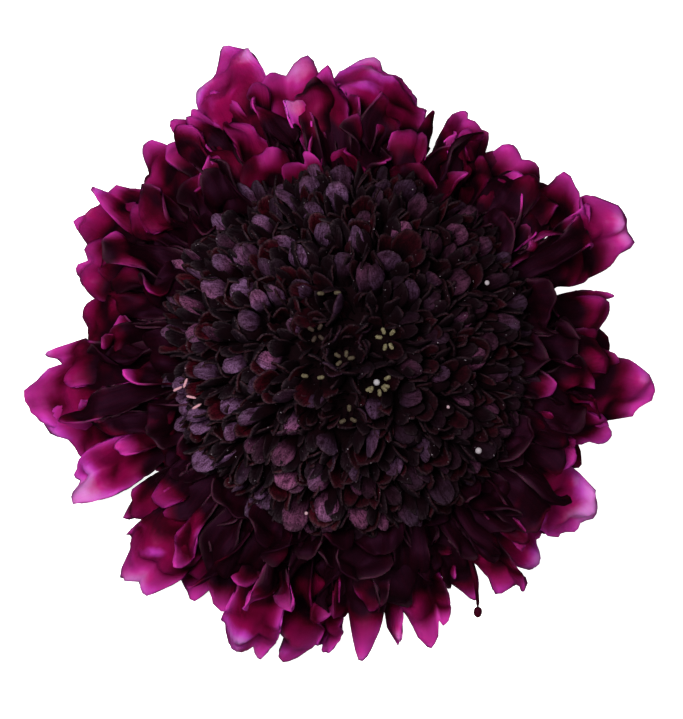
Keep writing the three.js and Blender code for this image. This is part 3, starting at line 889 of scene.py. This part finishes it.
def ray_layer(piece, bearing, reach, width, look):
    """One row of ray petals, from under the dome out to their reach, with the look's profile and waves."""
    count = len(bearing)
    turned = bearing + ring_rng.normal(0, 1.5, count)
    root = polar(look["from"], turned, look["height"] + ring_rng.normal(0, 0.25, count))
    end = polar(reach, bearing, 0.0) - AXIS + RING
    run = (end - root) * np.array([1, 1, 0])
    out = unit(run)
    angles = np.array(look["angles"]) + ring_rng.normal(0, 1, (count, 4)) * np.array(look["vary"])
    blunt = np.broadcast_to(look.get("blunt", 2.3), (count,))
    shape = {
        "stations": STATIONS,
        "angles": angles,
        "length": spine_length(angles, run),
        "width_stations": [0, 0.2, 0.4, 0.62, 0.82, 1],
        "half": width[:, None] / 2 * np.array(look["half"]),
        "cup": width[:, None] / 2 * np.array(look["cup"]) * ring_rng.normal(1, 0.6, (count, 1)),
        "notch": look["notch"] - 0.2 * np.maximum(0, 2.2 - blunt) + ring_rng.uniform(-0.04, 0.04, count),
        "blunt": column(blunt, count),
        "ragged": ring_rng.uniform(0.001, 0.006, count),
        "lobed": ring_rng.uniform(*look["lobed"], count),
        "pleat": look["pleat"] * ring_rng.uniform(0.3, 1.7, count),
        "pleats": width * ring_rng.uniform(0.32, 0.55, count),
        "crumple": look["crumple"] * ring_rng.uniform(0.6, 1.4, count),
        "phase": ring_rng.uniform(0, PHASES, count),
        "ruffle": look["ruffle"] * ring_rng.uniform(0.7, 1.3, count),
        "waves": ring_rng.uniform(7, 12, count),
        "roll": look.get("tip_over", 0) + ring_rng.normal(0, look["roll"], count),
        "twist": ring_rng.normal(0, look["twist"], count),
        "sweep": look["sweep"] if np.ndim(look["sweep"]) else ring_rng.normal(0, look["sweep"], count),
    }
    points, along, across, fold = petals(root, out, UP, shape, look["rows"], look["columns"])
    points[..., 2] = np.maximum(points[..., 2], PETAL_FLOOR)
    solid, faces, marks = leaves("ray", points, along, across)
    ring_rng.uniform(0, 1, count)  # keeps the rows that follow at their own draws
    # Each petal's own tone, with painted shade and painted light added for its side of the ring.
    tone = look["tone"] + look["shadow"] * painted_ring_shade(bearing)
    # How far out each point is: the maroon this gives near the dome is partly painted shade.
    far = np.clip((np.linalg.norm((solid - AXIS)[:, :2], axis=1) - FADE["from"]) / FADE["over"], 0, 1)
    marks |= {"tone": both(column(tone, count), points), "far": far, "fold": both(fold, points)}
    piece.add(solid, faces, **marks)


def outer_petals():
    """Broad ruffled petals, arching down to the level that the head lies on, over a row darkened with
    painted shade.
    """
    piece = Piece("outer_ray_florets")
    bearing, reach, width, blunt, dark, bend = (np.array(part, float) for part in zip(*OUTER))
    look = {
        "from": 11.2,
        "height": 10.3,
        "angles": [80, 100, 122, 146],
        "vary": [2, 6, 12, 26],
        "half": [0.28, 0.42, 0.70, 0.98, 1.08, 1.02],
        "cup": [0.3, 0.4, 0.3, 0.0, -0.4, -0.75],
        "notch": 0.75,
        "blunt": blunt,
        "ruffle": 0.8,
        "pleat": 0.8,
        "lobed": (0.02, 0.08),
        "crumple": 0.60,
        "shadow": 0.1,
        "roll": 11,
        "tip_over": 6,
        "twist": 14,
        "sweep": bend,
        "tone": dark,
        "rows": 32,
        "columns": 21,
    }
    ray_layer(piece, bearing, reach, width, look)
    step = 360 / UNDER_PETALS
    bearing = step * np.arange(UNDER_PETALS) + ring_rng.normal(0, 2, UNDER_PETALS)
    look |= {"height": 9.4, "angles": [84, 108, 126, 132], "blunt": 2.3, "ruffle": 0.9, "sweep": 0.8}
    look |= {"half": [0.5, 0.85, 1.0, 1.05, 1.05, 1.0]}
    # Painted shade: the lower row is darker where it lies under the outer petals.
    look |= {"tone": ring_rng.uniform(0.5, 1.0, UNDER_PETALS)}
    reach = ring_rng.uniform(21.4, 23.4, UNDER_PETALS)
    width = ring_rng.uniform(4.6, 6.0, UNDER_PETALS)
    ray_layer(piece, bearing, within_gaps(bearing, reach, width), width, look)
    return piece


def inner_petals(piece):
    """Shorter petals that spread over the outer ones. It gives their look, for the rows that follow."""
    look = {
        "from": 12.0,
        "height": 11.4,
        "angles": [72, 80, 100, 124],
        "vary": [3, 8, 14, 28],
        "half": [0.3, 0.5, 0.78, 1.0, 1.08, 1.0],
        "cup": [0.4, 0.5, 0.5, 0.2, -0.2, -0.6],
        "notch": 0.70,
        "ruffle": 1.0,
        "pleat": 0.45,
        "lobed": (0.0, 0.08),
        "crumple": 0.58,
        "shadow": 1.1,
        "roll": 24,
        "twist": 34,
        "sweep": 1.2,
        "rows": 24,
        "columns": 15,
    }
    count = INNER_PETALS
    bearing = 360 / count * np.arange(count) + ring_rng.normal(0, 3, count)
    reach = 18.2 + 7.0 * ring_rng.uniform(0, 1, count) ** 1.3
    width = ring_rng.uniform(2.0, 4.4, count)
    look |= {"tone": ring_rng.uniform(-0.5, 1.5, count), "blunt": ring_rng.uniform(2.0, 2.6, count)}
    ray_layer(piece, bearing, within_gaps(bearing, reach, width), width, look)
    return look


def ribbon_petals(piece, look):
    """Petals that stand up round the dome."""
    count = RIBBONS
    look = look | {"height": 11.5, "angles": [70, 48, 36, 98], "vary": [3, 12, 18, 34]}
    look |= {"ruffle": 1.3, "roll": 20, "twist": 30, "cup": [0.4, 0.5, 0.5, 0.35, 0.1, -0.1]}
    look |= {"tone": ring_rng.uniform(-1.1, 1.0, count), "blunt": ring_rng.uniform(1.9, 2.7, count)}
    bearing = 5 + 360 / count * np.arange(count) + ring_rng.normal(0, 4, count)
    look |= {"rows": 28, "columns": 17}
    reach = ring_rng.uniform(16.8, 20.8, count)
    ray_layer(piece, bearing, reach, ring_rng.uniform(2.6, 5.0, count), look)
    return look


def frills(piece, look):
    """Narrow curled lobes between the other petals."""
    count = FRILLS
    look = look | {"height": 11.6, "angles": [74, 80, 98, 122], "vary": [4, 8, 16, 30]}
    look |= {"roll": 40, "twist": 60, "rows": 22, "columns": 11}
    look |= {"tone": ring_rng.uniform(-0.8, 1.5, count), "blunt": ring_rng.uniform(2.0, 3.0, count)}
    look |= {"half": [0.25, 0.35, 0.5, 0.85, 1.1, 1.0], "crumple": 0.75, "ruffle": 1.2, "shadow": 0.9}
    bearing = 2 + 360 / count * np.arange(count) + ring_rng.normal(0, 3, count)
    reach = ring_rng.uniform(19.4, 24.4, count)
    width = ring_rng.uniform(1.5, 3.0, count)
    ray_layer(piece, bearing, within_gaps(bearing, reach, width), width, look)


def ray_tubes():
    """The tubes of the ray florets, the ring that they grow from, and one long style with its stigma."""
    piece = Piece("ray_tubes")
    # Marks for the petals' darkest maroon, which is partly painted shade.
    dark = {"along": 0.1, "across": 0.0, "back": 1.0, "tone": 0.7, "far": 0.0, "fold": 0.0}
    piece.add(*lathe(COLLAR, 64, ridge=0.02, ridges=16), **dark)
    for tier in TUBES:
        at = tier["first"] + 360 / tier["count"] * np.arange(tier["count"])
        root, mouth = polar(TUBE_ROOT, at, tier["foot"]), polar(tier["reach"], at, tier["mouth"])
        piece.add(*round_bar(root, mouth, tier["radius"] * 0.85, tier["radius"], sides=12, rows=8), **dark)
    bright = dark | {"along": 0.6, "tone": 0.3, "far": 0.5}
    foot, knob, bow = (np.array([STYLE[key]]) for key in ("foot", "knob", "bow"))
    piece.add(*round_bar(foot, knob, 0.2, 0.17, rows=12, square=24, bow=bow[0]), **bright)
    low, high = knob - [[0, 0.8, 0.2]], knob + [[0, 0.2, 0]]
    piece.add(*round_bar(high, low, 0.42, 0.38, 12, 9, square=2), **bright)
    return piece


# ---- the stalk and bracts --------------------


def stalk():
    """The cut stub of the ridged stalk, widening into the seat of the head."""
    points, faces = lathe(STALK, 64, ridge=0.035, ridges=8)
    piece = Piece("stalk")
    turn = np.arctan2(points[:, 1] - AXIS[1], points[:, 0] - AXIS[0])
    piece.add(points, faces, along=points[:, 2] / 9, across=turn / math.pi)
    return piece


def bracts():
    """Pointed green bracts in two lengths, spreading under the petals."""
    piece = Piece("bracts")
    count = 2 * BRACTS["pairs"]
    number = np.arange(count)
    long = number % 2 == 0
    at = 180 * number / BRACTS["pairs"] + ring_rng.normal(0, 2.5, count)
    out = polar(1.0, at, 0.0) - AXIS
    root = polar(BRACTS["root"], at, BRACTS["height"] - BRACTS["drop"] * long)
    wide = np.full(count, BRACTS["width"] / 2)
    half = np.stack([wide, wide, 0.93 * wide, 0.75 * wide, 0.5 * wide, 0.22 * wide], 1)
    shape = {
        "stations": [0, 0.5, 1],
        "angles": np.array([92.0, 112.0, 122.0]) + ring_rng.normal(0, 4, (count, 3)),
        "length": np.where(long, BRACTS["long"], BRACTS["short"]) * ring_rng.normal(1, 0.05, count),
        "width_stations": [0, 0.3, 0.5, 0.7, 0.88, 1],
        "half": half,
        "cup": 0.25 * half,
        "notch": 0.86,
        "blunt": 1.7,
        "ragged": 0.0,
        "phase": ring_rng.uniform(0, PHASES, count),
        "ruffle": 0.12,
        "waves": 9.0,
        "roll": ring_rng.normal(0, 5, count),
        "twist": ring_rng.normal(0, 12, count),
        "sweep": ring_rng.normal(0, 0.4, count),
    }
    points, along, across, _ = petals(root, out, UP, shape, rows=18, columns=9)
    solid, faces, marks = leaves("bract", points, along, across)
    piece.add(solid, faces, **marks)
    return piece


def hairs():
    """Short hairs that stand off the stalk."""
    piece = Piece("hairs")
    height = ring_rng.uniform(0.3, 7.2, HAIRS)
    radius = np.interp(height, *HAIR_FEET)
    at = ring_rng.uniform(0, 360, HAIRS)
    start = polar(radius - 0.1, at, height)
    long = ring_rng.uniform(0.25, 0.65, HAIRS)
    turn = ring_rng.normal(0, 6, HAIRS)
    finish = polar(radius + long, at + turn, height + ring_rng.normal(0.1, 0.15, HAIRS))
    piece.add(*round_bar(start, finish, radius=0.035, tip=0.015, sides=4, rows=3), along=0.5, across=0.0)
    return piece


# ---- the studio ------------------------------


def studio():
    """A pale floor, one broad soft light from the left, a weak fill, and the camera straight above."""
    bpy.ops.mesh.primitive_grid_add(x_subdivisions=8, y_subdivisions=8, size=3.0, location=(0, 0, 0))
    floor = bpy.context.object
    floor.name = "floor"
    floor.data.materials.append(floor_material())
    floor.visible_glossy = False
    floor.visible_diffuse = False
    for name, place, size, watts in LAMPS:
        lamp = bpy.data.lights.new(name, "AREA")
        lamp.size = size
        lamp.energy = watts
        light = bpy.data.objects.new(name, lamp)
        bpy.context.collection.objects.link(light)
        light.location = place
        back = np.array(place) - LAMP_AIM
        tilt = math.atan2(math.hypot(back[0], back[1]), back[2])
        light.rotation_euler = (tilt, 0.0, math.atan2(back[1], back[0]) + math.pi / 2)
    world = bpy.data.worlds.new("studio")
    world.use_nodes = True
    sky = world.node_tree.nodes["Background"].inputs
    sky["Color"].default_value = (1.0, 1.0, 1.0, 1.0)
    sky["Strength"].default_value = 0.05
    bpy.context.scene.world = world
    bpy.context.scene.view_settings.view_transform = "Standard"
    lens = bpy.data.cameras.new("camera")
    lens.sensor_fit = "HORIZONTAL"
    lens.sensor_width = CAMERA["sensor"]
    lens.lens = CAMERA["lens"]
    lens.clip_start = 0.01
    camera = bpy.data.objects.new("camera", lens)
    bpy.context.collection.objects.link(camera)
    distance = CAMERA["across"] * CAMERA["lens"] / CAMERA["sensor"]
    camera.location = (CAMERA["x"] * MM, CAMERA["y"] * MM, (CAMERA["plane"] + distance) * MM)
    bpy.context.scene.camera = camera


studio()
FRAMES = disc_frames()
velvet, satin, green = disc_material(), ray_material(), green_material()
top, count = FLORETS["top"], FLORETS["count"]
disc_florets(0, top, "disc_florets_top").make(velvet, "disc_petal", "disc_florets")
disc_florets(top, count, "disc_florets_side").make(velvet, "disc_petal", "disc_florets")
core = core_material()
dome_core().make(core, "disc_petal", "disc_florets")
chaff().make(velvet, "disc_petal")
awns().make(core, "disc_petal")
anthers, filaments, stigmas = stamens()
anthers.make(anther_material(), "disc_petal")
filaments.make(core, "disc_petal")
stigmas.make(stigma_material(), "disc_petal")
outer_petals().make(satin, "ray_petal", "ray_florets")
inner, ribbons = Piece("inner_ray_florets"), Piece("ribbon_ray_florets")
look = ribbon_petals(ribbons, inner_petals(inner))
frills(ribbons, look)
inner.make(satin, "ray_petal", "ray_florets")
ribbons.make(satin, "ray_petal", "ray_florets")
ray_tubes().make(satin, "ray_petal", "ray_florets")
stalk().make(green, "green", "stalk_and_bracts")
bracts().make(green, "green", "stalk_and_bracts")
hairs().make(green, "green")
